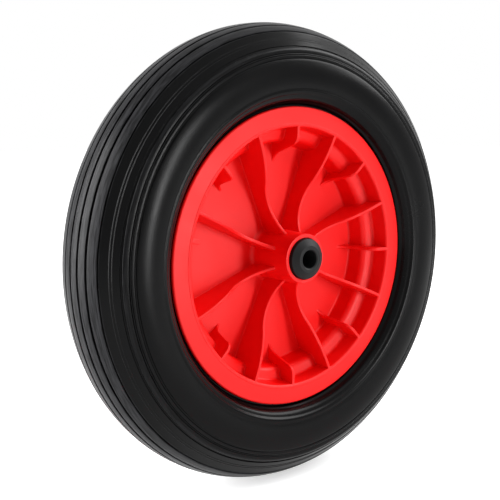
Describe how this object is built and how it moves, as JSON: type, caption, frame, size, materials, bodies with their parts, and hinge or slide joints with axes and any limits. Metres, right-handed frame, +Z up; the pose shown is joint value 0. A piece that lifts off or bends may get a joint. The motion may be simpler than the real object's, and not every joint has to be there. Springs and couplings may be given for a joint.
{
  "type": "wheelbarrow wheel",
  "caption": "Pneumatic wheelbarrow wheel: circumferentially ribbed tyre on a one-piece moulded plastic rim with curved ribs and plain axle bushes.",
  "frame": {"origin": "centre of the wheel, on the axle's axis and in the tyre's middle plane", "axes": "+Y along the axle from the wheel's front face to its back, +Z up, +X to the right seen from the front"},
  "size_m": [0.38, 0.1018, 0.38],
  "materials": {
    "red_plastic": "semi-gloss moulded plastic",
    "black_tyre": "satin moulded rubber",
    "black_rubber": "matt rubber",
    "black_plastic": "matt moulded plastic",
    "valve_brass": "plain brass"
  },
  "bodies": {
    "root": {"rim": "red_plastic", "tyre": "black_tyre", "inner_tube": "black_rubber", "bush_front": "black_plastic", "bush_rear": "black_plastic", "valve_barrel": "valve_brass", "valve_core": "valve_brass", "valve_cap": "black_plastic"}
  },
  "joints": []
}
